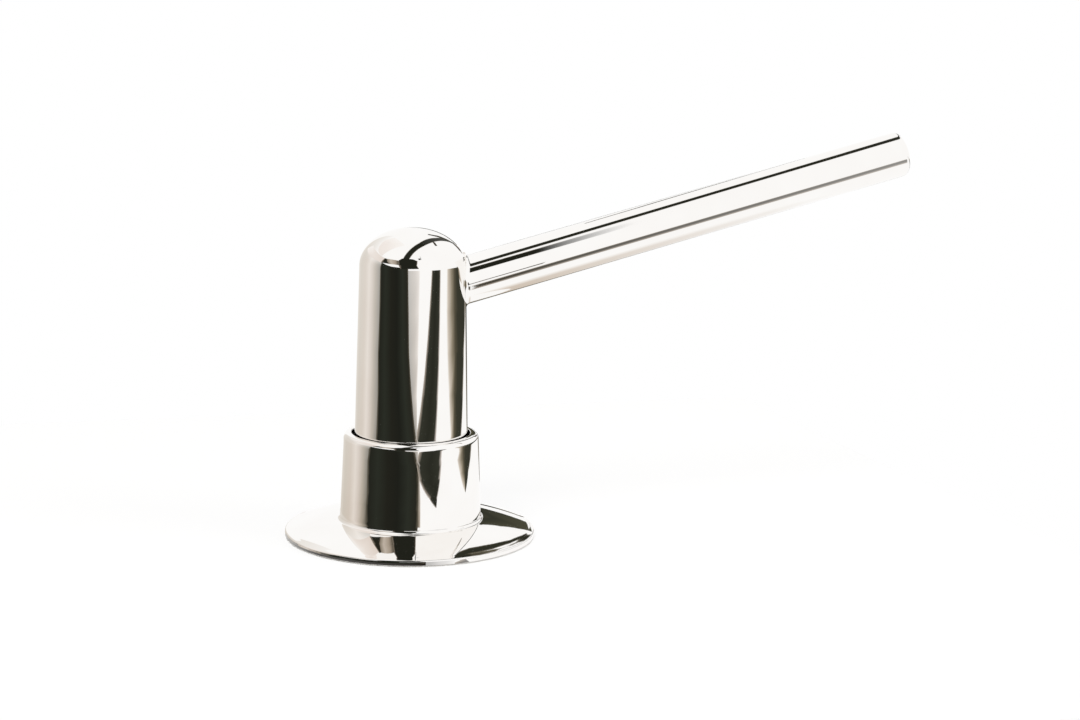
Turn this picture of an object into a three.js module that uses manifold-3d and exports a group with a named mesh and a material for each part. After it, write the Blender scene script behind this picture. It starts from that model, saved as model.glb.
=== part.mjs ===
// Deck-mounted sink soap dispenser, in millimetres, +Z up. The origin is on the dispenser's axis,
// on the top face of the sink deck. The spout points along +X and rises away from the head.
import * as THREE from 'three';
import { mergeVertices } from 'three/addons/utils/BufferGeometryUtils.js';
import Module from 'manifold-3d';

const wasm = await Module();
wasm.setup();

// Clearances that every piece shares
const seatGap = 0.3; // between faces that rest on each other
const slideGap = 0.3; // between round pieces that slide, turn or plug together
const cutOverrun = 2; // how far a cutting shape runs past what it cuts

// The deck that the dispenser is clamped to
const deckThickness = 20;

// Escutcheon: flange with a shallow crowned skirt, and a collar that flares a little to its base
const flangeRadius = 30;
const rimEdgeHeight = 1.2;
const rimRound = 0.4;
const rimClearance = 0.3; // the gasket stands this far proud of the rim
const skirtRise = 2.6; // from the rim's edge to the foot of the collar's fillet
const skirtCrown = 0.37; // the skirt's middle stands this far above a straight cone
const skirtFacets = 12; // steps of the crown's outline
const skirtWall = 1.2;
const collarHeight = 25;
const collarTopRadius = 16.2;
const collarBaseRadius = 17;
const collarBoreRadius = 14.2;
const collarFillet = 0.9;
const collarOuterLipRound = 0.9;
const collarInnerLipRound = 0.5;
const ledgeHeight = 5; // top face of the ledge that carries the shank
const ledgeBossWall = 2;

// Flat gasket between the flange and the deck
const gasketThickness = 0.8;
const gasketInset = 3.5; // from the flange's edge to the gasket's

// Shank: threaded tube that hangs from the ledge by its flange
const shankRadius = 12.5;
const shankBoreRadius = 10.6;
const shankFlangeRadius = 13.7;
const shankFlangeThickness = 1.6;
const shankReach = 56; // below the top face of the deck
const shankChamfer = 0.8;

// Clamp below the deck: rubber washer, steel washer and wing nut
const rubberWasherRadius = 21;
const rubberWasherThickness = 2;
const steelWasherRadius = 20.5;
const steelWasherThickness = 1.2;
const nutHeight = 9;
const nutHubRadius = 17;
const nutFlangeRadius = 19.5;
const nutFlangeThickness = 2;
const nutWingCount = 4;
const nutWingReach = 27;
const nutWingThickness = 3;
const nutWingHeight = 6.5;
const nutWingRound = 2.5;
const nutWingRoot = 1; // how deep a wing is moulded into the hub

// Bottle: a neck that screws onto the shank, an inner ledge for the seal, and a cylindrical body
const bottleNeckTop = 42; // below the top face of the deck
const bottleNeckRadius = 15.3;
const bottleLedgeThickness = 2.3;
const bottleThroatRadius = 10.7;
const bottleRadius = 32;
const bottleDepth = 180; // lowest point below the top face of the deck
const bottleShoulderDrop = 16;
const bottleWall = 1.4;
const bottleFootRound = 6;
const bottlePuntRise = 2;
const bottleNeckChamfer = 0.7;
const bottleSealThickness = 1.6;

// Pump closure: a plug that drops into the shank, with a guide tower for the stem on top
const closureFlangeRadius = 13.5;
const closureFlangeThickness = 1.2;
const closureCeilingThickness = 3.8; // from the flange's top down to the ceiling over the barrel
const closureSkirtRadius = 10.3;
const closureSkirtReach = 8; // below the top face of the deck
const closureBoreRadius = 8.3;
const towerRadius = 6.5;
const towerHeight = 2.6;
const towerChamfer = 0.7;
const snapBeadDepth = 0.6; // how far the bead that holds the barrel stands out from the bore
const snapBeadHeight = 0.8;
const sealGrooveDrop = 9.2; // from the flange's underside to the middle of the seal's groove
const sealSectionRadius = 0.65;
const sealGrooveDepth = 1.4;

// Pump barrel, its valve seat and the socket of the dip tube
const barrelRadius = 7.4;
const barrelBoreRadius = 6.4;
const barrelFlangeThickness = 1.4;
const valveChamberRadius = 3.2;
const valveChamberDepth = 4.6;
const valvePortRadius = 1.5;
const valvePortLength = 1.1;
const inletBallRadius = 2.4;
const barrelFootTaper = 5;
const socketWall = 1.2;
const socketDepth = 6.7;
const dipTubeRadius = 3.1;
const dipTubeBoreRadius = 2.1;
const dipTubeFootGap = 3.6; // from the bottle's punt to the tip of the dip tube
const dipTubeCutAngle = 35; // degrees, so that the tip never seals against the bottle

// Ball cage: the plate over the inlet ball
const cageThickness = 1;
const cageRingWall = 1.2;
const cageRingHeight = 1.6;
const cageHoleCount = 4;
const cageHoleRadius = 0.8;
const cageHoleCircleRadius = 2.1;

// Piston and the spring under it
const pressStroke = 12;
const pistonTopGap = 0.7; // to the closure's ceiling at rest
const pistonHeight = 7.1;
const pistonLipHeight = 1.2;
const pistonLipFlare = 0.8; // how far a lip stands out from the piston's waist
const pistonFloor = 1.3;
const springWireRadius = 0.5;
const springRadius = 5; // to the middle of the wire
const springTurns = 9;
const springEndTurns = 1; // closed turns at each end
const springEndPitch = 1.5;
const springSpareLength = 17; // what is left between the spring's seats at full stroke

// Stem: hollow rod with the outlet valve at its top
const stemRadius = 4;
const stemBoreRadius = 1.5;
const stemDrop = 4.1; // from the point where the spout's axis meets the head's down to the stem's top
const outletBallRadius = 2;
const outletChamberRadius = 2.6;
const outletChamberDepth = 6;

// Press head: a domed cap that narrows a little upwards and slides in the collar
const headFootRadius = 13.6;
const headShoulderRadius = 12.65;
const headWall = 1.2;
const headShoulderHeight = 65;
const headDomeRise = 9.1;
const headEngagement = 3; // how deep the head's lower edge stands in the collar at rest
const headEdgeRound = 0.4;

// Moulded core inside the head
const coreInset = 7; // from the head's lower edge up to the core's
const coreDiscThickness = 2.5;
const coreDiscSpacing = 20;
const coreHubRadius = 6.8;
const coreTopRise = 6.4; // above the point where the spout's axis meets the head's
const coreTopRound = 2.4;
const corePassageRadius = 1.6;
const coreRibCount = 4;
const coreRibThickness = 1.6;
const coreFeedSocketStart = 4.2;
const corePassageRise = 2.9;

// Spout: a long round tube with a closed, square-cut end
const spoutAxisDrop = 7.1; // from the head's shoulder to where the spout's axis meets the head's
const spoutAngle = 15; // degrees above the level
const spoutLength = 130.6; // along its axis, from the head's axis to its end
const spoutRadius = 5.65;
const spoutWall = 0.9;
const spoutRootInset = 9.5; // where the tube starts inside the head
const spoutEndThickness = 1.7;
const spoutEndRound = 1.3;
const feedTubeRadius = 3;
const feedTubeBoreRadius = 2;

// Nozzle in the spout's end
const nozzleBlockLength = 10;
const nozzleSocketDepth = 3;
const nozzleBoreRadius = 1.5;
const outletSetback = 6; // from the spout's end to the outlet's axis
const outletRadius = 2.3;
const outletBoreRadius = 1.4;
const outletRecess = 0.4; // how far the outlet stays inside the spout's underside
const outletLength = 3.2;
const outletLipRound = 0.35;

// Facets of the round pieces
const bodyFacets = 44;
const shellFacets = 36;
const ringFacets = 32;
const innerFacets = 24;
const smallFacets = 16;
const roundSteps = 3;
const domeSteps = 8;
const shoulderSteps = 5;
const sealSteps = 7;
const springStepsPerTurn = 8;
const springSides = 5;

// Sizes and heights worked out from the ones above, from the deck's top face upwards
const gasketRadius = flangeRadius - gasketInset;
const spoutAxisHeight = headShoulderHeight - spoutAxisDrop;
const gasketRecessRoof = gasketThickness + seatGap;
const rimTop = rimClearance + rimEdgeHeight;
const shankFlangeFloor = ledgeHeight + seatGap;
const shankTop = shankFlangeFloor + shankFlangeThickness;
const closureFlangeFloor = shankTop + seatGap;
const closureFlangeTop = closureFlangeFloor + closureFlangeThickness;
const closureCeiling = closureFlangeTop - closureCeilingThickness;
const towerTop = closureFlangeTop + towerHeight;
const headFloor = collarHeight - headEngagement;
const headTop = headShoulderHeight + headDomeRise;
const stemTop = spoutAxisHeight - stemDrop;
const coreFloor = headFloor + coreInset;
const coreTop = spoutAxisHeight + coreTopRise;

// Heights below the deck's top face, from the piston down
const barrelTop = closureCeiling - seatGap;
const pistonTop = closureCeiling - pistonTopGap - seatGap;
const pistonBottom = pistonTop - pistonHeight;
const springTop = pistonBottom - seatGap;
const springFloor = springTop - pressStroke - springSpareLength;
const cageTop = springFloor - seatGap;
const cageFloor = cageTop - cageThickness;
const chamberTop = cageFloor - seatGap;
const chamberFloor = chamberTop - valveChamberDepth;
const seatDrop = valveChamberRadius - valvePortRadius; // the seat is a 45 degree cone
const portTop = chamberFloor - seatDrop;
const portBottom = portTop - valvePortLength;
const socketFloor = portBottom - socketDepth;
const dipTubeTop = portBottom - seatGap;
const shankBottom = -shankReach;
const bottleSealTop = shankBottom - seatGap;
const bottleLedgeTop = bottleSealTop - bottleSealThickness - seatGap;
const bottleFloor = -bottleDepth;
const dipTubeBottom = bottleFloor + bottlePuntRise + bottleWall + dipTubeFootGap;
const rubberWasherTop = -deckThickness;
const steelWasherTop = rubberWasherTop - rubberWasherThickness - seatGap;
const nutTop = steelWasherTop - steelWasherThickness - seatGap;
const clampBoreRadius = shankRadius + 1.2 * slideGap;
const socketBoreRadius = dipTubeRadius + slideGap;
const feedSocketRadius = feedTubeRadius + slideGap;

// Finishes
const polishedNickel = metal(0xe9e2d9, 0.04);
const stainlessSteel = metal(0xc9cacb, 0.25);
const threadedBrass = metal(0xcdbb86, 0.3);
const blackRubber = plastic(0x1c1c1d, 0.85);
const naturalResin = plastic(0xe6e6df, 0.4);
const bottleResin = plastic(0xf1f1ec, 0.45);
const tubeResin = plastic(0xdfe4e2, 0.3);

function metal(color, roughness) {
  return new THREE.MeshStandardMaterial({ color, roughness, metalness: 1 });
}

function plastic(color, roughness) {
  return new THREE.MeshStandardMaterial({ color, roughness, metalness: 0 });
}

const degrees = THREE.MathUtils.degToRad;

// Points of an arc about (r, z), between two angles in degrees, both ends included
function arc(r, z, radius, from, to, steps = roundSteps) {
  return ellipseArc(r, z, radius, radius, from, to, steps);
}

function ellipseArc(r, z, radiusR, radiusZ, from, to, steps) {
  return Array.from({ length: steps + 1 }, (_, i) => {
    const angle = degrees(from + ((to - from) * i) / steps);
    return [r + radiusR * Math.cos(angle), z + radiusZ * Math.sin(angle)];
  });
}

// The geometry with only positions, shared vertices merged and all its faces pointing out
function closed(geometry) {
  geometry.deleteAttribute('normal');
  geometry.deleteAttribute('uv');
  const merged = mergeVertices(geometry, seatGap / 1000);
  const position = merged.getAttribute('position');
  const corners = [new THREE.Vector3(), new THREE.Vector3(), new THREE.Vector3()];
  const kept = [];
  let volume = 0;
  for (let i = 0; i < merged.index.count; i += 3) {
    const triangle = [0, 1, 2].map((k) => merged.index.getX(i + k));
    if (new Set(triangle).size < 3) continue;
    kept.push(...triangle);
    corners.forEach((corner, k) => corner.fromBufferAttribute(position, triangle[k]));
    volume += corners[0].dot(corners[1].clone().cross(corners[2]));
  }
  if (volume < 0) kept.reverse();
  merged.setIndex(kept);
  return merged;
}

// A turned solid about Z: the outline is a list of [radius, height] that closes on itself or on the axis
function turned(outline, facets) {
  const points = outline.map(([r, z]) => new THREE.Vector2(r, z));
  const onAxis = points[0].x === 0 && points.at(-1).x === 0;
  if (!onAxis) points.push(points[0].clone());
  const geometry = new THREE.LatheGeometry(points, facets);
  geometry.rotateX(Math.PI / 2);
  return closed(geometry);
}

// A plain tube, a flat ring or a solid rod about Z
function ring(inner, outer, floor, top, facets) {
  return turned([[inner, floor], [outer, floor], [outer, top], [inner, top]], facets);
}

function rod(radius, floor, top, facets) {
  return turned([[0, floor], [radius, floor], [radius, top], [0, top]], facets);
}

function toManifold(geometry) {
  const vertProperties = new Float32Array(geometry.getAttribute('position').array);
  return new wasm.Manifold(new wasm.Mesh({
    numProp: 3, vertProperties, triVerts: new Uint32Array(geometry.index.array),
  }));
}

function fromManifold(manifold) {
  const { vertProperties, triVerts } = manifold.getMesh();
  const geometry = new THREE.BufferGeometry();
  geometry.setAttribute('position', new THREE.BufferAttribute(vertProperties, 3));
  geometry.setIndex(new THREE.BufferAttribute(triVerts, 1));
  return geometry;
}

// The body with the additions joined and the cutters taken out
function shaped(body, additions, cutters) {
  let result = toManifold(body);
  additions.forEach((geometry) => { result = result.add(toManifold(geometry)); });
  cutters.forEach((geometry) => { result = result.subtract(toManifold(geometry)); });
  return fromManifold(result);
}

function mesh(name, geometry, material) {
  const piece = new THREE.Mesh(geometry, material);
  piece.name = name;
  return piece;
}

// From the spout's own frame, Z along its axis and X towards its underside, to the dispenser's frame
const spoutFrame = new THREE.Matrix4()
  .makeTranslation(0, 0, spoutAxisHeight)
  .multiply(new THREE.Matrix4().makeRotationY(degrees(90 - spoutAngle)));

// Escutcheon: one casting, hollow below its skirt
function escutcheon() {
  const filletRadius = collarBaseRadius + collarFillet;
  const skirtRun = flangeRadius - rimRound - filletRadius;
  const skirtHeightAt = (r) => {
    const climb = (flangeRadius - rimRound - r) / skirtRun;
    return rimTop + skirtRise * climb + skirtCrown * 4 * climb * (1 - climb);
  };
  const skirt = [];
  for (let i = 1; i < skirtFacets; i += 1) {
    const r = flangeRadius - rimRound - (skirtRun * i) / skirtFacets;
    skirt.push([r, skirtHeightAt(r)]);
  }
  const filletCentre = rimTop + skirtRise + collarFillet;
  const rimInner = gasketRadius + slideGap;
  const hollowOuter = rimInner - 2 * skirtWall;
  const bossRadius = shankRadius + slideGap + ledgeBossWall;
  const outline = [
    [flangeRadius, rimClearance],
    ...arc(flangeRadius - rimRound, rimTop - rimRound, rimRound, 0, 90),
    ...skirt,
    ...arc(filletRadius, filletCentre, collarFillet, 270, 180),
    ...arc(collarTopRadius - collarOuterLipRound, collarHeight - collarOuterLipRound,
      collarOuterLipRound, 0, 90),
    ...arc(collarBoreRadius + collarInnerLipRound, collarHeight - collarInnerLipRound,
      collarInnerLipRound, 90, 180),
    [collarBoreRadius, ledgeHeight],
    [shankRadius + slideGap, ledgeHeight],
    [shankRadius + slideGap, gasketRecessRoof],
    [bossRadius, gasketRecessRoof],
    [bossRadius, skirtHeightAt(collarBaseRadius) - skirtWall],
    [collarBaseRadius, skirtHeightAt(collarBaseRadius) - skirtWall],
    [hollowOuter, skirtHeightAt(hollowOuter) - skirtWall],
    [hollowOuter, gasketRecessRoof],
    [rimInner, gasketRecessRoof],
    [rimInner, rimClearance],
  ];
  return turned(outline, bodyFacets);
}

function baseGasket() {
  return ring(shankRadius + 2 * slideGap, gasketRadius, 0, gasketThickness, ringFacets);
}

// Shank: flanged tube with chamfered end
function shank() {
  const outline = [
    [shankBoreRadius, shankBottom],
    [shankRadius - shankChamfer, shankBottom],
    [shankRadius, shankBottom + shankChamfer],
    [shankRadius, shankFlangeFloor],
    [shankFlangeRadius, shankFlangeFloor],
    [shankFlangeRadius, shankTop],
    [shankBoreRadius, shankTop],
  ];
  return turned(outline, ringFacets);
}

function rubberWasher() {
  const floor = rubberWasherTop - rubberWasherThickness;
  return ring(clampBoreRadius, rubberWasherRadius, floor, rubberWasherTop, ringFacets);
}

function steelWasher() {
  const floor = steelWasherTop - steelWasherThickness;
  return ring(clampBoreRadius, steelWasherRadius, floor, steelWasherTop, ringFacets);
}

// Wing nut: a flanged hub with flat wings for the fingers
function lockNut() {
  const nutFloor = nutTop - nutHeight;
  const hub = turned([
    [clampBoreRadius, nutFloor],
    [nutHubRadius, nutFloor],
    [nutHubRadius, nutTop - nutFlangeThickness],
    [nutFlangeRadius, nutTop - nutFlangeThickness],
    [nutFlangeRadius, nutTop],
    [clampBoreRadius, nutTop],
  ], ringFacets);
  const wingOutline = new THREE.Shape();
  const root = nutHubRadius - nutWingRoot;
  wingOutline.moveTo(root, 0);
  wingOutline.lineTo(nutWingReach - nutWingRound, 0);
  wingOutline.absarc(nutWingReach - nutWingRound, nutWingRound, nutWingRound, -Math.PI / 2, 0);
  wingOutline.lineTo(nutWingReach, nutWingHeight - nutWingRound);
  wingOutline.absarc(nutWingReach - nutWingRound, nutWingHeight - nutWingRound, nutWingRound, 0, Math.PI / 2);
  wingOutline.lineTo(root, nutWingHeight);
  const wings = Array.from({ length: nutWingCount }, (_, i) => {
    const wing = new THREE.ExtrudeGeometry(wingOutline, {
      depth: nutWingThickness, bevelEnabled: false, curveSegments: roundSteps,
    });
    wing.translate(0, 0, -nutWingThickness / 2);
    wing.rotateX(Math.PI / 2);
    wing.translate(0, 0, nutFloor);
    wing.rotateZ((2 * Math.PI * (i + 0.5)) / nutWingCount);
    return closed(wing);
  });
  return shaped(hub, wings, []);
}

// Bottle: blow-moulded, with a punt under its foot
function bottle() {
  const neckBore = shankRadius + slideGap;
  const neckTop = -bottleNeckTop;
  const ledgeFloor = bottleLedgeTop - bottleLedgeThickness;
  const shoulderTop = bottleLedgeTop;
  const shoulderFloor = shoulderTop - bottleShoulderDrop;
  const innerShoulderTop = ledgeFloor;
  const innerRadius = bottleRadius - bottleWall;
  const innerFootRound = bottleFootRound - bottleWall;
  const footCentre = bottleFloor + bottleFootRound;
  const puntRadius = bottleRadius - bottleFootRound;
  const outline = [
    [0, bottleFloor + bottlePuntRise],
    [puntRadius - bottleFootRound, bottleFloor + bottlePuntRise / 2],
    ...arc(puntRadius, footCentre, bottleFootRound, 270, 360),
    ...ellipseArc(bottleNeckRadius, shoulderFloor, bottleRadius - bottleNeckRadius,
      bottleShoulderDrop, 0, 90, shoulderSteps),
    [bottleNeckRadius, neckTop - bottleNeckChamfer],
    [bottleNeckRadius - bottleNeckChamfer, neckTop],
    [neckBore, neckTop],
    [neckBore, bottleLedgeTop],
    [bottleThroatRadius, bottleLedgeTop],
    ...ellipseArc(bottleThroatRadius, shoulderFloor, innerRadius - bottleThroatRadius,
      innerShoulderTop - shoulderFloor, 90, 0, shoulderSteps),
    ...arc(puntRadius, footCentre, innerFootRound, 360, 270),
    [puntRadius - bottleFootRound, bottleFloor + bottlePuntRise / 2 + bottleWall],
    [0, bottleFloor + bottlePuntRise + bottleWall],
  ];
  return turned(outline, ringFacets);
}

function bottleGasket() {
  return ring(bottleThroatRadius + slideGap, shankRadius, bottleSealTop - bottleSealThickness,
    bottleSealTop, ringFacets);
}

// Pump closure: flange, guide tower, and a skirt with the seal's groove outside and a snap bead inside
function pumpClosure() {
  const stemHole = stemRadius + slideGap;
  const grooveMiddle = closureFlangeFloor - sealGrooveDrop;
  const grooveHalf = sealSectionRadius + slideGap;
  const beadTop = barrelTop - barrelFlangeThickness - seatGap;
  const outline = [
    [stemHole, towerTop],
    [towerRadius - towerChamfer, towerTop],
    [towerRadius, towerTop - towerChamfer],
    [towerRadius, closureFlangeTop],
    [closureFlangeRadius, closureFlangeTop],
    [closureFlangeRadius, closureFlangeFloor],
    [closureSkirtRadius, closureFlangeFloor],
    [closureSkirtRadius, grooveMiddle + grooveHalf],
    [closureSkirtRadius - sealGrooveDepth, grooveMiddle + grooveHalf],
    [closureSkirtRadius - sealGrooveDepth, grooveMiddle - grooveHalf],
    [closureSkirtRadius, grooveMiddle - grooveHalf],
    [closureSkirtRadius, -closureSkirtReach],
    [closureBoreRadius, -closureSkirtReach],
    [closureBoreRadius, beadTop - snapBeadHeight - snapBeadDepth],
    [closureBoreRadius - snapBeadDepth, beadTop - snapBeadHeight],
    [closureBoreRadius - snapBeadDepth, beadTop],
    [closureBoreRadius, beadTop],
    [closureBoreRadius, closureCeiling],
    [stemHole, closureCeiling],
  ];
  return turned(outline, ringFacets);
}

function closureSeal() {
  const middle = closureSkirtRadius - sealGrooveDepth + slideGap / 2 + sealSectionRadius;
  const section = arc(middle, closureFlangeFloor - sealGrooveDrop, sealSectionRadius, 0,
    360 - 360 / sealSteps, sealSteps - 1);
  return turned(section, innerFacets);
}

// Pump barrel: the cylinder, the ball's chamber with its conical seat, and the dip tube's socket
function pumpBarrel() {
  const flangeRadiusHere = closureBoreRadius - slideGap;
  const outline = [
    [barrelBoreRadius, barrelTop],
    [flangeRadiusHere, barrelTop],
    [flangeRadiusHere, barrelTop - barrelFlangeThickness],
    [barrelRadius, barrelTop - barrelFlangeThickness],
    [barrelRadius, chamberTop],
    [socketBoreRadius + socketWall, chamberTop - barrelFootTaper],
    [socketBoreRadius + socketWall, socketFloor],
    [socketBoreRadius, socketFloor],
    [socketBoreRadius, portBottom],
    [valvePortRadius, portBottom],
    [valvePortRadius, portTop],
    [valveChamberRadius, chamberFloor],
    [valveChamberRadius, chamberTop],
    [barrelBoreRadius, chamberTop],
  ];
  return turned(outline, innerFacets);
}

// Ball cage: a plate with flow holes and a ring that centres the spring
function ballCage() {
  const ringRadius = springRadius - springWireRadius - slideGap;
  const plate = turned([
    [0, cageFloor],
    [barrelBoreRadius - slideGap, cageFloor],
    [barrelBoreRadius - slideGap, cageTop],
    [ringRadius, cageTop],
    [ringRadius, cageTop + cageRingHeight],
    [ringRadius - cageRingWall, cageTop + cageRingHeight],
    [ringRadius - cageRingWall, cageTop],
    [0, cageTop],
  ], innerFacets);
  const holes = Array.from({ length: cageHoleCount }, (_, i) => {
    const hole = rod(cageHoleRadius, cageFloor - cutOverrun, cageTop + cutOverrun, smallFacets / 2);
    hole.translate(cageHoleCircleRadius, 0, 0);
    hole.rotateZ((2 * Math.PI * i) / cageHoleCount);
    return hole;
  });
  return shaped(plate, [], holes);
}

// A ball on a 45 degree seat whose port is at portHeight, clear of the seat by half a seat gap
function seatedBall(radius, portHeight) {
  const ball = new THREE.SphereGeometry(radius, smallFacets, smallFacets / 2);
  ball.rotateX(Math.PI / 2);
  ball.translate(0, 0, portHeight + Math.SQRT2 * (radius + seatGap / 2) - valvePortRadius);
  return closed(ball);
}

// Return spring: open turns between closed end turns, measured for the gap between its turns
class SpringCurve extends THREE.Curve {
  getPoint(t) {
    const turn = t * springTurns;
    const low = springFloor + springWireRadius;
    const high = springTop - springWireRadius;
    const endRise = springEndTurns * springEndPitch;
    const fromTop = springTurns - turn;
    const openShare = (turn - springEndTurns) / (springTurns - 2 * springEndTurns);
    let height = low + endRise + openShare * (high - low - 2 * endRise);
    if (turn < springEndTurns) height = low + turn * springEndPitch;
    if (fromTop < springEndTurns) height = high - fromTop * springEndPitch;
    const angle = 2 * Math.PI * turn;
    return new THREE.Vector3(springRadius * Math.cos(angle), springRadius * Math.sin(angle), height);
  }
}

function returnSpring() {
  const curve = new SpringCurve();
  const steps = springTurns * springStepsPerTurn;
  const rings = Array.from({ length: steps + 1 }, (_, i) => {
    const centre = curve.getPoint(i / steps);
    const outward = new THREE.Vector3(centre.x, centre.y, 0).normalize();
    return Array.from({ length: springSides }, (_, k) => {
      const angle = (2 * Math.PI * k) / springSides;
      const point = centre.clone().addScaledVector(outward, springWireRadius * Math.cos(angle));
      point.z += springWireRadius * Math.sin(angle);
      return point;
    });
  });
  const vertices = rings.flat();
  const faces = [];
  for (let i = 0; i < steps; i += 1) {
    for (let k = 0; k < springSides; k += 1) {
      const next = (k + 1) % springSides;
      const a = i * springSides;
      faces.push(a + k, a + next, a + springSides + next, a + k, a + springSides + next, a + springSides + k);
    }
  }
  for (let k = 1; k < springSides - 1; k += 1) {
    const last = steps * springSides;
    faces.push(0, k + 1, k, last, last + k, last + k + 1);
  }
  const turnsApart = [];
  for (let i = 0; i + springStepsPerTurn <= steps; i += 1) {
    turnsApart.push(rings[i + springStepsPerTurn][0].distanceTo(rings[i][0]) - 2 * springWireRadius);
  }
  console.log('least gap between spring turns', Math.min(...turnsApart).toFixed(2), 'mm');
  const geometry = new THREE.BufferGeometry().setFromPoints(vertices);
  geometry.setIndex(faces);
  return closed(geometry);
}

// Dip tube with a slanted tip
function dipTube() {
  const tube = ring(dipTubeBoreRadius, dipTubeRadius, dipTubeBottom, dipTubeTop, smallFacets);
  const reach = 2 * dipTubeRadius + cutOverrun;
  const knife = new THREE.BoxGeometry(4 * reach, 4 * reach, 2 * reach);
  knife.translate(0, 0, -reach);
  knife.rotateY(degrees(dipTubeCutAngle));
  knife.translate(dipTubeRadius, 0, dipTubeBottom);
  return shaped(tube, [], [closed(knife)]);
}

// Piston with a sealing lip at each end
function piston() {
  const lipRadius = barrelBoreRadius - slideGap;
  const waist = lipRadius - pistonLipFlare;
  const chamfer = slideGap;
  const stemSocket = stemRadius + slideGap;
  const outline = [
    [stemBoreRadius, pistonBottom],
    [lipRadius - chamfer, pistonBottom],
    [lipRadius, pistonBottom + chamfer],
    [lipRadius, pistonBottom + pistonLipHeight],
    [waist, pistonBottom + pistonLipHeight + pistonLipFlare],
    [waist, pistonTop - pistonLipHeight - pistonLipFlare],
    [lipRadius, pistonTop - pistonLipHeight],
    [lipRadius, pistonTop - chamfer],
    [lipRadius - chamfer, pistonTop],
    [stemSocket, pistonTop],
    [stemSocket, pistonBottom + pistonFloor],
    [stemBoreRadius, pistonBottom + pistonFloor],
  ];
  return turned(outline, innerFacets);
}

// Stem: hollow rod, widened at the top for the outlet ball and its conical seat
function stem() {
  const stemFloor = pistonBottom + pistonFloor + seatGap;
  const outletPortTop = stemTop - outletChamberDepth;
  const outline = [
    [stemBoreRadius, stemFloor],
    [stemRadius, stemFloor],
    [stemRadius, stemTop],
    [outletChamberRadius, stemTop],
    [outletChamberRadius, outletPortTop + outletChamberRadius - stemBoreRadius],
    [stemBoreRadius, outletPortTop],
  ];
  return turned(outline, smallFacets);
}

// The head's outer radius at a height between its foot and its shoulder
function headRadiusAt(height) {
  const fromShoulder = (headShoulderHeight - height) / (headShoulderHeight - headFloor);
  return headShoulderRadius + (headFootRadius - headShoulderRadius) * fromShoulder;
}

// Press head: slightly tapered tube with an elliptical dome, and a hole for the spout
function headShell() {
  const innerShoulder = headShoulderRadius - headWall;
  const outline = [
    [0, headTop - headWall],
    ...ellipseArc(0, headShoulderHeight, innerShoulder, headDomeRise - headWall, 90, 0, domeSteps).slice(1),
    [headFootRadius - headWall, headFloor],
    ...arc(headFootRadius - headEdgeRound, headFloor + headEdgeRound, headEdgeRound, 270, 360),
    ...ellipseArc(0, headShoulderHeight, headShoulderRadius, headDomeRise, 0, 90, domeSteps).slice(0, -1),
    [0, headTop],
  ];
  const spoutHole = rod(spoutRadius + slideGap, coreHubRadius, headFootRadius + spoutRadius + cutOverrun,
    shellFacets);
  spoutHole.applyMatrix4(spoutFrame);
  return shaped(turned(outline, shellFacets), [], [spoutHole]);
}

// Moulded core: a hub with two discs and ribs, the stem's socket, and the socket of the feed tube
function headCore() {
  const bore = (height) => headRadiusAt(height) - headWall - slideGap;
  const stemSocket = stemRadius + slideGap;
  const lowDiscTop = coreFloor + coreDiscThickness;
  const highDiscFloor = coreFloor + coreDiscSpacing;
  const highDiscTop = highDiscFloor + coreDiscThickness;
  const passageTop = spoutAxisHeight + corePassageRise;
  const hub = turned([
    [0, passageTop],
    [corePassageRadius, passageTop],
    [corePassageRadius, stemTop + seatGap],
    [stemSocket, stemTop + seatGap],
    [stemSocket, coreFloor],
    [bore(coreFloor), coreFloor],
    [bore(lowDiscTop), lowDiscTop],
    [coreHubRadius, lowDiscTop],
    [coreHubRadius, highDiscFloor],
    [bore(highDiscFloor), highDiscFloor],
    [bore(highDiscTop), highDiscTop],
    [coreHubRadius, highDiscTop],
    ...arc(coreHubRadius - coreTopRound, coreTop - coreTopRound, coreTopRound, 0, 90),
    [0, coreTop],
  ], innerFacets);
  const ribs = Array.from({ length: coreRibCount }, (_, i) => {
    const ribInner = stemSocket + slideGap;
    const ribLength = bore(highDiscTop) - slideGap - ribInner;
    const ribHeight = highDiscTop - coreFloor - coreDiscThickness;
    const rib = new THREE.BoxGeometry(ribLength, coreRibThickness, ribHeight);
    rib.translate(ribInner + ribLength / 2, 0, coreFloor + coreDiscThickness / 2 + ribHeight / 2);
    rib.rotateZ((2 * Math.PI * i) / coreRibCount);
    return closed(rib);
  });
  const feedSocket = rod(feedSocketRadius, coreFeedSocketStart, headFootRadius, smallFacets);
  const feedBore = rod(corePassageRadius, 0, headFootRadius, smallFacets / 2);
  return shaped(hub, ribs, [feedSocket, feedBore].map((cut) => cut.applyMatrix4(spoutFrame)));
}

// The outlet's place along the spout, how far its tip is from the spout's axis, and a cutter about it
const outletPlace = spoutLength - outletSetback;
const outletTip = spoutRadius - outletRecess;

function outletCutter(radius, from, to, facets) {
  const cutter = rod(radius, from, to, facets);
  cutter.rotateY(Math.PI / 2);
  cutter.translate(0, 0, outletPlace);
  return cutter;
}

// Spout tube, closed and rounded at its end
function spoutTube() {
  const bore = spoutRadius - spoutWall;
  const outline = [
    [0, spoutLength - spoutEndThickness],
    [bore, spoutLength - spoutEndThickness],
    [bore, spoutRootInset],
    [spoutRadius, spoutRootInset],
    ...arc(spoutRadius - spoutEndRound, spoutLength - spoutEndRound, spoutEndRound, 0, 90),
    [0, spoutLength],
  ];
  const hole = outletCutter(outletRadius + slideGap, 0, spoutRadius + cutOverrun, smallFacets);
  return shaped(turned(outline, innerFacets), [], [hole]);
}

const nozzleBlockEnd = spoutLength - spoutEndThickness - seatGap;
const nozzleBlockStart = nozzleBlockEnd - nozzleBlockLength;

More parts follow.
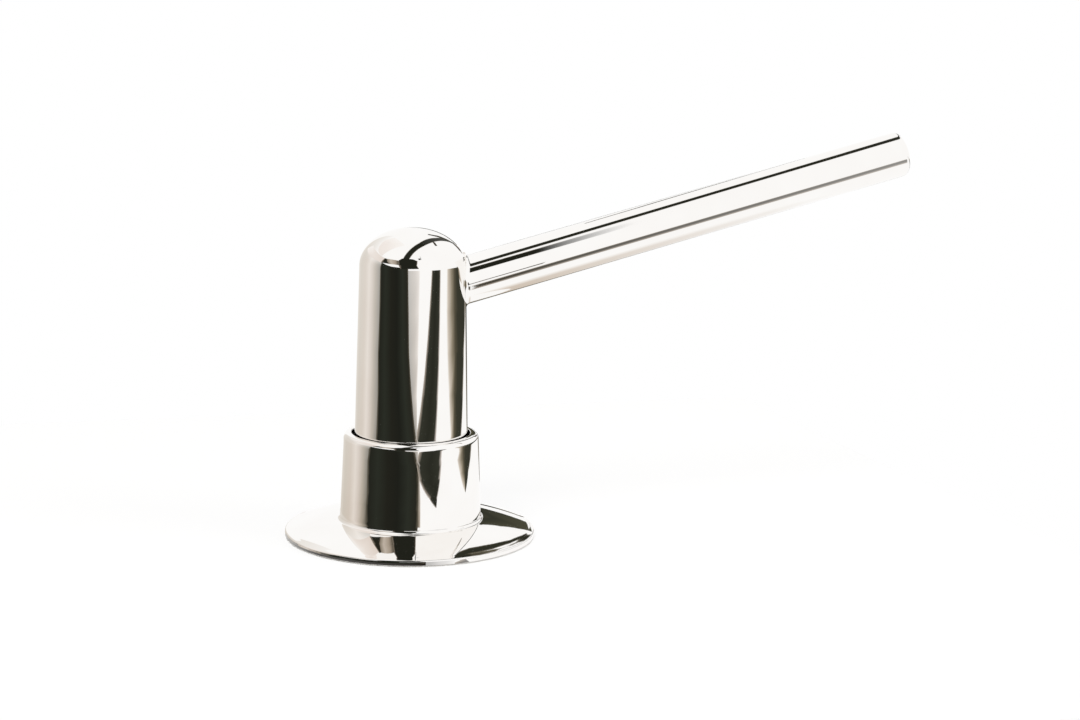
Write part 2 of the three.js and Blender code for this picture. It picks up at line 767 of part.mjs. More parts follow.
function feedTube() {
  return ring(feedTubeBoreRadius, feedTubeRadius, coreFeedSocketStart + seatGap,
    nozzleBlockStart + nozzleSocketDepth - seatGap, smallFacets);
}

// Nozzle block: takes the feed tube at its back and the outlet in its underside
function nozzleBlock() {
  const blockRadius = spoutRadius - spoutWall - slideGap;
  const block = rod(blockRadius, nozzleBlockStart, nozzleBlockEnd, innerFacets);
  const tubeSocket = rod(feedSocketRadius, nozzleBlockStart - cutOverrun,
    nozzleBlockStart + nozzleSocketDepth, smallFacets);
  const bore = rod(nozzleBoreRadius, nozzleBlockStart, outletPlace, smallFacets);
  const downBore = outletCutter(nozzleBoreRadius, 0, spoutRadius, smallFacets);
  const outletSocket = outletCutter(outletRadius + slideGap,
    outletTip - outletLength - seatGap, spoutRadius + cutOverrun, smallFacets);
  return shaped(block, [], [tubeSocket, bore, downBore, outletSocket]);
}

// Outlet: a short nozzle with a rounded lip, set into the spout's underside
function outletInsert() {
  const nozzle = turned([
    [outletBoreRadius, outletTip - outletLength],
    [outletRadius, outletTip - outletLength],
    ...arc(outletRadius - outletLipRound, outletTip - outletLipRound, outletLipRound, 0, 90),
    [outletBoreRadius, outletTip],
  ], smallFacets);
  nozzle.rotateY(Math.PI / 2);
  nozzle.translate(0, 0, outletPlace);
  return nozzle;
}

// What is fixed to the deck
const mount = new THREE.Group();
mount.add(
  mesh('escutcheon', escutcheon(), polishedNickel),
  mesh('base_gasket', baseGasket(), blackRubber),
  mesh('shank', shank(), threadedBrass),
);

// The clamp below the deck, and the bottle
const underDeck = new THREE.Group();
underDeck.add(
  mesh('clamp_rubber_washer', rubberWasher(), blackRubber),
  mesh('clamp_steel_washer', steelWasher(), stainlessSteel),
  mesh('lock_nut', lockNut(), threadedBrass),
  mesh('bottle_gasket', bottleGasket(), blackRubber),
  mesh('bottle', bottle(), bottleResin),
);

// The pump that drops into the shank
const pump = new THREE.Group();
pump.add(
  mesh('pump_closure', pumpClosure(), naturalResin),
  mesh('closure_o_ring', closureSeal(), blackRubber),
  mesh('pump_barrel', pumpBarrel(), naturalResin),
  mesh('ball_cage', ballCage(), naturalResin),
  mesh('return_spring', returnSpring(), stainlessSteel),
  mesh('dip_tube', dipTube(), tubeResin),
  mesh('inlet_ball', seatedBall(inletBallRadius, portTop), stainlessSteel),
);

// What slides down when the head is pressed
const plunger = new THREE.Group();
plunger.add(
  mesh('piston', piston(), tubeResin),
  mesh('stem', stem(), naturalResin),
  mesh('outlet_ball', seatedBall(outletBallRadius, stemTop - outletChamberDepth), stainlessSteel),
);

// The head and the spout, which turn on the stem
const spout = new THREE.Group();
spout.applyMatrix4(spoutFrame);
spout.add(
  mesh('spout_tube', spoutTube(), polishedNickel),
  mesh('feed_tube', feedTube(), tubeResin),
  mesh('nozzle_block', nozzleBlock(), naturalResin),
  mesh('outlet_insert', outletInsert(), polishedNickel),
);
const head = new THREE.Group();
head.add(mesh('head_shell', headShell(), polishedNickel), mesh('head_core', headCore(), naturalResin), spout);

const soapDispenser = new THREE.Group();
soapDispenser.name = 'sink_soap_dispenser';
soapDispenser.add(mount, underDeck, pump, plunger, head);

export default soapDispenser;
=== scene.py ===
import math

import bmesh
import bpy
from mathutils import Matrix, Vector


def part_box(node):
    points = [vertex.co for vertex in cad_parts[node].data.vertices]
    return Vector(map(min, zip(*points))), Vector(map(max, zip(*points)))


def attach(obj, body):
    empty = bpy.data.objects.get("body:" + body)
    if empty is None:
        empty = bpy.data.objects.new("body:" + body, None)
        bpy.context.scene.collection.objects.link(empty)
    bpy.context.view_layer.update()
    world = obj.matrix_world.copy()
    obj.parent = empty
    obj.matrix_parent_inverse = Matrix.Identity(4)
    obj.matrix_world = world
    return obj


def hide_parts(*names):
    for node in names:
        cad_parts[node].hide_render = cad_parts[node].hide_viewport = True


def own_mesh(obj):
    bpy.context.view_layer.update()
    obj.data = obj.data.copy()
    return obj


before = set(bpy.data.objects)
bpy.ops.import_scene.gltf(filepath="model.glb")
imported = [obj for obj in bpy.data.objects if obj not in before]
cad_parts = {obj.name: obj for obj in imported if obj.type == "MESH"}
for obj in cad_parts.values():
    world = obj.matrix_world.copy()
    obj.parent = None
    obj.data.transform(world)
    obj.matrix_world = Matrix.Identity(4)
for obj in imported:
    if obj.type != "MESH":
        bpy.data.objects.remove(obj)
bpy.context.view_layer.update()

mm = 0.001


# Escutcheon: the flange and collar on the sink deck, one brass casting that is turned, polished to
# a mirror and nickel plated. Its skirt is shallow and a little crowned, hollow below, and the collar
# widens a little towards its foot.

def linear(hex_code):
    """The linear colour of an sRGB hex code, as a colour socket takes it."""
    channels = [int(hex_code[i:i + 2], 16) / 255 for i in (1, 3, 5)]
    return [c / 12.92 if c <= 0.04045 else ((c + 0.055) / 1.055) ** 2.4 for c in channels] + [1]


def add(tree, kind, settings=None, links=None):
    """Adds a node. Settings and links go by a property's or socket's name, or a socket's number."""
    made = tree.nodes.new(kind)
    for key, value in (settings or {}).items():
        if isinstance(key, str) and hasattr(made, key):
            setattr(made, key, value)
        else:
            made.inputs[key].default_value = value
    for key, source in (links or {}).items():
        tree.links.new(source, made.inputs[key])
    return made


def empty_material(name):
    made = bpy.data.materials.new(name)
    made.use_nodes = True
    made.node_tree.nodes.clear()
    return made, made.node_tree


def arc(radius, height, bend, start, end, steps=8, rise=None):
    """Outline points on an arc of radius bend about (radius, height), from start to end degrees. With
    a rise it is an ellipse, bend wide and rise high on each side of its middle."""
    angles = [math.radians(start + (end - start) * i / steps) for i in range(steps + 1)]
    rise = rise or bend
    return [(radius + bend * math.cos(a), height + rise * math.sin(a)) for a in angles]


def held(outline, longest=1.5, hold=0.15):
    """The outline with a point held this close to both ends of every straight over the longest
    length, which keeps its shading true. Lengths are in millimetres."""
    points = [outline[0]]
    for end in outline[1:]:
        start, run = points[-1], math.dist(points[-1], end)
        for share in (hold / run, 1 - hold / run) if run > longest else ():
            points.append([a + (b - a) * share for a, b in zip(start, end)])
        points.append(end)
    return points


def spun(outline, steps=128):
    """A closed turned solid about Z, from an outline of (radius, height) points in millimetres."""
    bm = bmesh.new()
    corners = [bm.verts.new((radius * mm, 0, height * mm)) for radius, height in held(outline)]
    rim = [bm.edges.new(pair) for pair in zip(corners, corners[1:])]
    if outline[0][0] > 0 or outline[-1][0] > 0:
        rim.append(bm.edges.new((corners[-1], corners[0])))
    bmesh.ops.spin(bm, geom=corners + rim, cent=(0, 0, 0), axis=(0, 0, 1), angle=2 * math.pi,
                   steps=steps, use_merge=True)
    return bm


def piece(name, bm, material, body, stands_for=(), sharp=35, weld=0.001):
    """Makes the object of a mesh and puts it on its body. Points closer than the weld in millimetres
    are merged, and it is smooth but for edges that turn more than the sharp angle in degrees."""
    bmesh.ops.remove_doubles(bm, verts=bm.verts, dist=weld * mm)
    bmesh.ops.recalc_face_normals(bm, faces=bm.faces)
    mesh = bpy.data.meshes.new(name)
    bm.to_mesh(mesh)
    bm.free()
    mesh.shade_smooth()
    mesh.set_sharp_from_angle(angle=math.radians(sharp))
    mesh.materials.append(material)
    made = bpy.data.objects.new(name, mesh)
    bpy.context.scene.collection.objects.link(made)
    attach(made, body)
    if stands_for:
        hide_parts(*stands_for)
    return made


def polished_nickel():
    """Nickel plate on polished brass: a warm white mirror, with the faint haze and the fine lines
    that the polishing wheel leaves."""
    haze_size = 9       # mm, patches that the wheel left a little duller
    line_spacing = 0.5  # mm, drawn coarser than the real lines so that they show
    line_stretch = 25   # how many times longer than their spacing the lines run
    made, tree = empty_material("polished nickel")
    place = add(tree, "ShaderNodeTexCoord").outputs["Object"]
    haze = add(tree, "ShaderNodeTexNoise", {"Scale": 1 / (haze_size * mm), "Detail": 3}, {"Vector": place})
    stretch = add(tree, "ShaderNodeMapping", {"Scale": (1, 1, 1 / line_stretch)}, {"Vector": place})
    lines = add(tree, "ShaderNodeTexNoise", {"Scale": 1 / (line_spacing * mm), "Detail": 1},
                {"Vector": stretch.outputs[0]})
    rough = add(tree, "ShaderNodeMapRange", {"To Min": 0.012, "To Max": 0.045}, {"Value": haze.outputs[0]})
    tint = add(tree, "ShaderNodeMix", {"data_type": "RGBA", 6: linear("#fdfcfa"), 7: linear("#f8f5f2")},
               {0: haze.outputs[0]})
    bump = add(tree, "ShaderNodeBump", {"Strength": 0.015, "Distance": 0.02 * mm},
               {"Height": lines.outputs[0]})
    shader = add(tree, "ShaderNodeBsdfPrincipled", {"Metallic": 1},
                 {"Base Color": tint.outputs[2], "Roughness": rough.outputs[0], "Normal": bump.outputs[0]})
    add(tree, "ShaderNodeOutputMaterial", links={0: shader.outputs[0]})
    return made


nickel = polished_nickel()

flange_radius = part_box("escutcheon")[1].x / mm
rim_floor, collar_height = (corner.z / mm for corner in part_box("escutcheon"))
rim_edge = 1.2
rim_inner = 26.8
rim_round = 0.4
rim_turn = 75           # degrees that the rim's rounding turns before the skirt takes over
skirt_rise = 2.6
skirt_crown = 0.37      # the skirt's middle stands this far above a straight cone
skirt_wall = 1.2
skirt_steps = 24
collar_top_radius = 16.2
collar_base_radius = 17
collar_bore = 14.2
collar_fillet = 0.9
fillet_slope = 4        # degrees, the skirt's slope where it runs into the collar's fillet
lip_round = 1.4
bore_round = 0.15
ledge_top = 5
ledge_bore = 12.8
boss_radius = 14.8
gasket_recess = 1.1

rim_top = rim_floor + rim_edge
fillet_radius = collar_base_radius + collar_fillet
fillet_centre = rim_top + skirt_rise + collar_fillet
hollow_radius = rim_inner - 2 * skirt_wall
skirt_edge = flange_radius - rim_round
skirt_run = skirt_edge - fillet_radius


def skirt_height(radius):
    """Top of the skirt at a radius."""
    climb = (skirt_edge - radius) / skirt_run
    return rim_top + skirt_rise * climb + skirt_crown * 4 * climb * (1 - climb)


skirt = [skirt_edge - skirt_run * i / skirt_steps for i in range(1, skirt_steps)]
piece("escutcheon_casting", spun([
    (flange_radius, rim_floor),
    *arc(skirt_edge, rim_top - rim_round, rim_round, 0, rim_turn, steps=10),
    *((radius, skirt_height(radius)) for radius in skirt),
    *arc(fillet_radius, fillet_centre, collar_fillet, 270 - fillet_slope, 180, steps=12),
    *arc(collar_top_radius - lip_round, collar_height - lip_round, lip_round, 0, 90, steps=12),
    *arc(collar_bore + bore_round, collar_height - bore_round, bore_round, 90, 180),
    (collar_bore, ledge_top),
    (ledge_bore, ledge_top),
    (ledge_bore, gasket_recess),
    (boss_radius, gasket_recess),
    (boss_radius, skirt_height(collar_base_radius) - skirt_wall),
    (collar_base_radius, skirt_height(collar_base_radius) - skirt_wall),
    (hollow_radius, skirt_height(hollow_radius) - skirt_wall),
    (hollow_radius, gasket_recess),
    (rim_inner, gasket_recess),
    (rim_inner, rim_floor),
], steps=192), nickel, "mount", ["escutcheon"])


# Gaskets and the clamp's soft washer: black rubber, moulded or cut from sheet. It is matt and a
# little dusty, with a fine grain.

def black_rubber():
    grain_size = 0.35  # mm
    made, tree = empty_material("black rubber")
    place = add(tree, "ShaderNodeTexCoord").outputs["Object"]
    grain = add(tree, "ShaderNodeTexNoise", {"Scale": 1 / (grain_size * mm), "Detail": 4}, {"Vector": place})
    tint = add(tree, "ShaderNodeMix", {"data_type": "RGBA", 6: linear("#161617"), 7: linear("#2b2b2c")},
               {0: grain.outputs[0]})
    rough = add(tree, "ShaderNodeMapRange", {"To Min": 0.6, "To Max": 0.85}, {"Value": grain.outputs[0]})
    bump = add(tree, "ShaderNodeBump", {"Strength": 0.3, "Distance": 0.03 * mm}, {"Height": grain.outputs[0]})
    shader = add(tree, "ShaderNodeBsdfPrincipled", {"IOR": 1.52},
                 {"Base Color": tint.outputs[2], "Roughness": rough.outputs[0], "Normal": bump.outputs[0]})
    add(tree, "ShaderNodeOutputMaterial", links={0: shader.outputs[0]})
    return made


rubber = black_rubber()


def finish_node(name, material):
    """Gives a CAD node that stays as it is its material."""
    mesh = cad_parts[name].data
    mesh.materials.clear()
    mesh.materials.append(material)


for name in ("base_gasket", "bottle_gasket", "closure_o_ring"):
    finish_node(name, rubber)


def washer(node, bore, edge_round):
    """A flat ring with rounded outer edges, as wide and as thick as a CAD node."""
    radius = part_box(node)[1].x / mm
    floor, roof = (corner.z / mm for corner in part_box(node))
    return spun([
        (bore, floor),
        *arc(radius - edge_round, floor + edge_round, edge_round, 270, 360, steps=5),
        *arc(radius - edge_round, roof - edge_round, edge_round, 0, 90, steps=5),
        (bore, roof),
    ], steps=96)


clamp_bore = 12.9
rubber_edge = 0.5
piece("rubber_washer", washer("clamp_rubber_washer", clamp_bore, rubber_edge), rubber, "clamp",
      ["clamp_rubber_washer"])


# Stainless steel: the clamp's washer, the spring's wire and the valve balls, cold rolled, drawn or
# ground. It is a cool grey metal with a soft sheen.

def stainless_steel():
    grain_size = 0.4  # mm
    made, tree = empty_material("stainless steel")
    place = add(tree, "ShaderNodeTexCoord").outputs["Object"]
    grain = add(tree, "ShaderNodeTexNoise", {"Scale": 1 / (grain_size * mm), "Detail": 3}, {"Vector": place})
    tint = add(tree, "ShaderNodeMix", {"data_type": "RGBA", 6: linear("#c6c8ca"), 7: linear("#dadbdc")},
               {0: grain.outputs[0]})
    rough = add(tree, "ShaderNodeMapRange", {"To Min": 0.18, "To Max": 0.34}, {"Value": grain.outputs[0]})
    shader = add(tree, "ShaderNodeBsdfPrincipled", {"Metallic": 1},
                 {"Base Color": tint.outputs[2], "Roughness": rough.outputs[0]})
    add(tree, "ShaderNodeOutputMaterial", links={0: shader.outputs[0]})
    return made


steel = stainless_steel()
for name in ("inlet_ball", "outlet_ball"):
    finish_node(name, steel)
steel_edge = 0.25
piece("steel_washer", washer("clamp_steel_washer", clamp_bore, steel_edge), steel, "clamp",
      ["clamp_steel_washer"])

spring_radius = 5    # mm, to the middle of the wire
wire_radius = 0.5
open_turns = 7       # between one closed turn at each end
closed_rise = 1.5
spring_floor, spring_top = (corner.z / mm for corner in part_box("return_spring"))


def wound_spring(turn_steps=24):
    """The wire, wound up from the spring's floor to its top."""
    bm = bmesh.new()
    start = Matrix.Translation((spring_radius * mm, 0, (spring_floor + wire_radius) * mm))
    bmesh.ops.create_circle(bm, cap_ends=True, segments=12, radius=wire_radius * mm,
                            matrix=start @ Matrix.Rotation(math.pi / 2, 4, "X"))
    open_rise = spring_top - spring_floor - 2 * wire_radius - 2 * closed_rise
    wire = bm.verts[:] + bm.edges[:] + bm.faces[:]
    for turns, rise in ((1, closed_rise), (open_turns, open_rise), (1, closed_rise)):
        steps = turn_steps * turns
        wire = bmesh.ops.spin(bm, geom=wire, cent=(0, 0, 0), axis=(0, 0, 1), dvec=(0, 0, rise * mm / steps),
                              angle=2 * math.pi * turns, steps=steps)["geom_last"]
    return bm


spring = piece("spring_wire", wound_spring(), steel, "pump", ["return_spring"])
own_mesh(spring)


# Shank and wing nut: turned from brass and left bare, with tarnish starting in patches. The shank is
# a tube with a flange that hangs from the escutcheon's ledge, and its thread is cut all the way down.
# The nut is cast with four flat wings for the fingers, and its edges are broken.

def machined_brass():
    tarnish_size = 6     # mm
    turning_pitch = 0.4  # mm, drawn coarser than the real tool marks so that they show
    turning_stretch = 50  # how many times longer than their pitch the tool marks run
    made, tree = empty_material("machined brass")
    place = add(tree, "ShaderNodeTexCoord").outputs["Object"]
    tarnish = add(tree, "ShaderNodeTexNoise", {"Scale": 1 / (tarnish_size * mm), "Detail": 5},
                  {"Vector": place})
    rings = add(tree, "ShaderNodeMapping", {"Scale": (1 / turning_stretch, 1 / turning_stretch, 1)},
                {"Vector": place})
    turning = add(tree, "ShaderNodeTexNoise", {"Scale": 1 / (turning_pitch * mm), "Detail": 2},
                  {"Vector": rings.outputs[0]})
    tint = add(tree, "ShaderNodeMix", {"data_type": "RGBA", 6: linear("#d9bf7c"), 7: linear("#b8965a")},
               {0: tarnish.outputs[0]})
    rough = add(tree, "ShaderNodeMapRange", {"To Min": 0.18, "To Max": 0.42}, {"Value": tarnish.outputs[0]})
    bump = add(tree, "ShaderNodeBump", {"Strength": 0.15, "Distance": 0.03 * mm},
               {"Height": turning.outputs[0]})
    shader = add(tree, "ShaderNodeBsdfPrincipled", {"Metallic": 1},
                 {"Base Color": tint.outputs[2], "Roughness": rough.outputs[0], "Normal": bump.outputs[0]})
    add(tree, "ShaderNodeOutputMaterial", links={0: shader.outputs[0]})
    return made


brass = machined_brass()

shank_radius = 12.5
shank_bore = 10.6
shank_flange_radius = 13.7
shank_flange_thickness = 1.6
shank_edge = 0.3
shank_bottom, shank_top = (corner.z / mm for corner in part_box("shank"))
shank_flange_floor = shank_top - shank_flange_thickness
thread_pitch = 2
thread_depth = 0.6
thread_crest = 0.32     # width of the ridge at its top, while its feet meet
thread_sink = 0.3       # how deep its foot is sunk into the shank
thread_runout = 1.5     # plain length under the flange
thread_root = shank_radius - thread_depth


def thread(floor, roof, turn_steps=36):
    """The ridge that winds up the shank between two heights, closed at both ends."""
    bm = bmesh.new()
    outline = [(thread_root - thread_sink, -thread_pitch / 2), (shank_radius, -thread_crest / 2),
               (shank_radius, thread_crest / 2), (thread_root - thread_sink, thread_pitch / 2)]
    start = floor + thread_pitch / 2
    section = bm.faces.new([bm.verts.new((radius * mm, 0, (start + rise) * mm)) for radius, rise in outline])
    turns = (roof - floor) / thread_pitch - 1
    steps = round(turns * turn_steps)
    bmesh.ops.spin(bm, geom=[section, *section.edges, *section.verts], cent=(0, 0, 0), axis=(0, 0, 1),
                   dvec=(0, 0, turns * thread_pitch * mm / steps), angle=2 * math.pi * turns, steps=steps)
    return bm


piece("shank_tube", spun([
    (shank_bore, shank_bottom),
    (thread_root, shank_bottom),
    (thread_root, shank_flange_floor),
    *arc(shank_flange_radius - shank_edge, shank_flange_floor + shank_edge, shank_edge, 270, 360, steps=4),
    *arc(shank_flange_radius - shank_edge, shank_top - shank_edge, shank_edge, 0, 90, steps=4),
    (shank_bore, shank_top),
]), brass, "mount", ["shank"])
piece("shank_thread", thread(shank_bottom, shank_flange_floor - thread_runout), brass, "mount")


nut_hub_radius = 17
nut_flange_radius = 19.5
nut_flange_thickness = 2
nut_edge = 0.5
nut_floor, nut_top = (corner.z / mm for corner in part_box("lock_nut"))
nut_flange_floor = nut_top - nut_flange_thickness
wing_count = 4
wing_reach = 27
wing_height = 6.5
wing_thickness = 3
wing_round = 2.5
wing_root = 1           # how deep a wing is sunk into the hub
wing_sharp = 35         # degrees, edges that turn more than this are broken


def only(kind, geom):
    """What is of one kind among the geometry that an operator gives back."""
    return [part for part in geom if isinstance(part, kind)]


def wings():
    """The nut's wings: flat plates with round outer corners, sunk a little into the hub."""
    bm = bmesh.new()
    inner, top = nut_hub_radius - wing_root, nut_floor + wing_height
    corners = ((inner, nut_floor), (wing_reach, nut_floor), (wing_reach, top), (inner, top))
    plate = bm.faces.new([bm.verts.new((x * mm, -wing_thickness / 2 * mm, z * mm)) for x, z in corners])
    outer = [vert for vert in plate.verts if vert.co.x > nut_hub_radius * mm]
    bmesh.ops.bevel(bm, geom=outer, affect="VERTICES", offset=wing_round * mm, segments=8, profile=0.5,
                    material=-1)
    grown = bmesh.ops.extrude_face_region(bm, geom=bm.faces[:])["geom"]
    bmesh.ops.translate(bm, vec=(0, wing_thickness * mm, 0), verts=only(bmesh.types.BMVert, grown))
    bmesh.ops.recalc_face_normals(bm, faces=bm.faces)
    sharp = [edge for edge in bm.edges if edge.calc_face_angle(0) > math.radians(wing_sharp)]
    bmesh.ops.bevel(bm, geom=sharp, affect="EDGES", offset=nut_edge * mm, segments=3, profile=0.5,
                    material=-1)
    first = bm.verts[:] + bm.edges[:] + bm.faces[:]
    bmesh.ops.rotate(bm, cent=(0, 0, 0), matrix=Matrix.Rotation(math.pi / wing_count, 3, "Z"),
                     verts=bm.verts)
    for i in range(1, wing_count):
        copied = bmesh.ops.duplicate(bm, geom=first)["geom"]
        bmesh.ops.rotate(bm, cent=(0, 0, 0), matrix=Matrix.Rotation(2 * math.pi * i / wing_count, 3, "Z"),
                         verts=only(bmesh.types.BMVert, copied))
    return bm


piece("nut_hub", spun([
    (clamp_bore, nut_floor),
    *arc(nut_hub_radius - nut_edge, nut_floor + nut_edge, nut_edge, 270, 360, steps=4),
    *arc(nut_hub_radius + nut_edge, nut_flange_floor - nut_edge, nut_edge, 180, 90, steps=4),
    *arc(nut_flange_radius - nut_edge, nut_flange_floor + nut_edge, nut_edge, 270, 360, steps=4),
    *arc(nut_flange_radius - nut_edge, nut_top - nut_edge, nut_edge, 0, 90, steps=4),
    (clamp_bore, nut_top),
]), brass, "nut", ["lock_nut"])
piece("nut_wings", wings(), brass, "nut")


# Bottle: blow moulded from natural polyethylene, with a neck that screws onto the shank and a foot
# that is pushed up in the middle. Its milky wall lets some light through.

def cloudy_plastic(name, tint_from, tint_to, see_through, cloud_size):
    """Plastic with no dye in it: off white, waxy and a little uneven."""
    made, tree = empty_material(name)
    place = add(tree, "ShaderNodeTexCoord").outputs["Object"]
    cloud = add(tree, "ShaderNodeTexNoise", {"Scale": 1 / (cloud_size * mm), "Detail": 4}, {"Vector": place})
    tint = add(tree, "ShaderNodeMix", {"data_type": "RGBA", 6: linear(tint_from), 7: linear(tint_to)},
               {0: cloud.outputs[0]})
    rough = add(tree, "ShaderNodeMapRange", {"To Min": 0.3, "To Max": 0.45}, {"Value": cloud.outputs[0]})
    bump = add(tree, "ShaderNodeBump", {"Strength": 0.08, "Distance": 0.1 * mm}, {"Height": cloud.outputs[0]})
    shader = add(tree, "ShaderNodeBsdfPrincipled", {"IOR": 1.52, "Transmission Weight": see_through},
                 {"Base Color": tint.outputs[2], "Roughness": rough.outputs[0], "Normal": bump.outputs[0]})
    add(tree, "ShaderNodeOutputMaterial", links={0: shader.outputs[0]})
    return made


bottle_cloud = 14       # mm, thicker and thinner places in the blown wall
bottle_plastic = cloudy_plastic("blown polyethylene", "#eeeee8", "#f6f6f2", 0.35, bottle_cloud)

bottle_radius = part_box("bottle")[1].x / mm
bottle_wall = 1.4
bottle_neck_radius = 15.3
bottle_neck_bore = 12.8
bottle_throat = 10.7
bottle_ledge = -58.2    # mm, top of the ledge that the seal sits on
bottle_ledge_thickness = 2.3
bottle_shoulder_drop = 16
bottle_foot_round = 6
bottle_punt = 2
neck_lip_round = 0.7
bottle_floor, neck_top = (corner.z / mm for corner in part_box("bottle"))
shoulder_floor = bottle_ledge - bottle_shoulder_drop
shoulder_inner_rise = bottle_shoulder_drop - bottle_ledge_thickness
shoulder_inner_reach = bottle_radius - bottle_wall - bottle_throat
foot_centre = bottle_floor + bottle_foot_round
punt_radius = bottle_radius - bottle_foot_round

piece("bottle_shell", spun([
    (0, bottle_floor + bottle_punt),
    (punt_radius - bottle_foot_round, bottle_floor + bottle_punt / 2),
    *arc(punt_radius, foot_centre, bottle_foot_round, 270, 360, steps=16),
    *arc(bottle_neck_radius, shoulder_floor, bottle_radius - bottle_neck_radius, 0, 90, steps=24,
         rise=bottle_shoulder_drop),
    *arc(bottle_neck_radius - neck_lip_round, neck_top - neck_lip_round, neck_lip_round, 0, 90, steps=6),
    (bottle_neck_bore, neck_top),
    (bottle_neck_bore, bottle_ledge),
    (bottle_throat, bottle_ledge),
    *arc(bottle_throat, shoulder_floor, shoulder_inner_reach, 90, 0, steps=24, rise=shoulder_inner_rise),
    *arc(punt_radius, foot_centre, bottle_foot_round - bottle_wall, 360, 270, steps=16),
    (punt_radius - bottle_foot_round, bottle_floor + bottle_punt / 2 + bottle_wall),
    (0, bottle_floor + bottle_punt + bottle_wall),
]), bottle_plastic, "bottle", ["bottle"])


# Pump: its closure, barrel, cage, stem, hub and nozzle block are moulded from polypropylene, which is
# opaque and a little grey. The piston and the tubes are of a softer polyethylene, cooler in tone, that
# lets some light through.

moulded_cloud = 3       # mm
moulded_plastic = cloudy_plastic("moulded polypropylene", "#e3e3dc", "#ecece6", 0, moulded_cloud)
for name in ("pump_closure", "pump_barrel", "ball_cage", "stem", "head_core", "nozzle_block"):
    finish_node(name, moulded_plastic)

tube_cloud = 5          # mm
tube_plastic = cloudy_plastic("extruded polyethylene", "#dde2e0", "#e8ecea", 0.3, tube_cloud)
for name in ("dip_tube", "piston", "feed_tube"):
    finish_node(name, tube_plastic)


# Press head: a deep drawn brass cap, slightly tapered, polished and nickel plated like the
# escutcheon. Its dome is a flattened half ellipse.

head_floor, head_top = (corner.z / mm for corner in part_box("head_shell"))
head_foot_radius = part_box("head_shell")[1].x / mm
head_shoulder_radius = 12.65
head_shoulder = 65
head_wall = 1.2
head_edge_round = 0.4
head_rise = head_top - head_shoulder


def head_radius(height):
    """Outer radius of the head between its foot and its shoulder."""
    share = (head_shoulder - height) / (head_shoulder - head_floor)
    return head_shoulder_radius + (head_foot_radius - head_shoulder_radius) * share


piece("press_head", spun([
    *arc(0, head_shoulder, head_shoulder_radius - head_wall, 90, 0, steps=40, rise=head_rise - head_wall),
    (head_foot_radius - head_wall, head_floor),
    *arc(head_foot_radius - head_edge_round, head_floor + head_edge_round, head_edge_round, 270, 360),
    *arc(0, head_shoulder, head_shoulder_radius, 0, 90, steps=40, rise=head_rise),
], steps=192), nickel, "head", ["head_shell"])


# Spout: a drawn brass tube soldered to the head with a small smooth fillet, closed at its tip with
# a flat end whose edge is rounded, and plated with the head. The outlet's insert is plated too.

spout_radius = 5.65
spout_angle = 15        # degrees above the level
spout_length = 130.6
spout_axis_height = 57.9
spout_end_round = 0.9
spout_end_steps = 10
spout_fillet = 0.9
spout_fillet_steps = 8
spout_steps = 96
spout_rings = (20, 60, 100)  # mm along the tube, rings that keep its long faces flat
fillet_hold = 0.2       # how far past the fillet a ring keeps the tube's shading true
end_hold = 0.3          # and how far before the rounded end
weld_depth = 0.6        # how deep the tube reaches into the head's wall
to_spout = (Matrix.Translation((0, 0, spout_axis_height * mm))
            @ Matrix.Rotation(math.radians(90 - spout_angle), 4, "Y"))


def stand_on_head(verts, stand_off):
    """Slides the verts along the spout until each stands so far off the head's surface."""
    rounds = 20
    for vert in verts:
        along = spout_radius * 2
        for _ in range(rounds):
            at = to_spout @ Vector((vert.co.x, vert.co.y, along * mm))
            wanted = (head_radius(at.z / mm) + stand_off) ** 2 - (at.y / mm) ** 2
            along += (math.sqrt(max(wanted, 0)) - at.x / mm) / math.cos(math.radians(spout_angle))
        vert.co.z = along * mm


def next_ring(bm, edges, radius):
    """Extrudes the tube's last ring of edges and gives the new one its radius."""
    grown = bmesh.ops.extrude_edge_only(bm, edges=edges)["geom"]
    verts = only(bmesh.types.BMVert, grown)
    for vert in verts:
        vert.co.xy = vert.co.xy.normalized() * radius * mm
    return verts, only(bmesh.types.BMEdge, grown)


def spout_tube():
    """The tube upright on its own axis, from its seat on the head to its tip, then laid in place."""
    bm = bmesh.new()
    verts = bmesh.ops.create_circle(bm, segments=spout_steps, radius=spout_radius * mm)["verts"]
    edges = bm.edges[:]
    stand_on_head(verts, -weld_depth)
    turns = [math.radians(90 * i / spout_fillet_steps) for i in range(spout_fillet_steps + 1)]
    fillet = [(spout_radius + spout_fillet * (1 - math.sin(turn)), spout_fillet * (1 - math.cos(turn)))
              for turn in turns]
    for radius, stand_off in fillet + [(spout_radius, spout_fillet + fillet_hold)]:
        verts, edges = next_ring(bm, edges, radius)
        stand_on_head(verts, stand_off)
    end_start = spout_length - spout_end_round
    straight = [(spout_radius, along) for along in (*spout_rings, end_start - end_hold)]
    end = arc(spout_radius - spout_end_round, end_start, spout_end_round, 0, 90, spout_end_steps)
    for radius, along in straight + end:
        verts, edges = next_ring(bm, edges, radius)
        for vert in verts:
            vert.co.z = along * mm
    bmesh.ops.holes_fill(bm, edges=bm.edges, sides=0)
    bmesh.ops.transform(bm, matrix=to_spout, verts=bm.verts)
    return bm


piece("spout", spout_tube(), nickel, "head", ["spout_tube"])
finish_node("outlet_insert", nickel)


# The sink deck that the dispenser stands on: a plain pale slab between the flange and the clamp's
# washers. It belongs to the stage, not to the object.

deck_size = 300
deck_thickness = 19.7
deck_gap = 0.05         # from the origin's level down to the deck's top


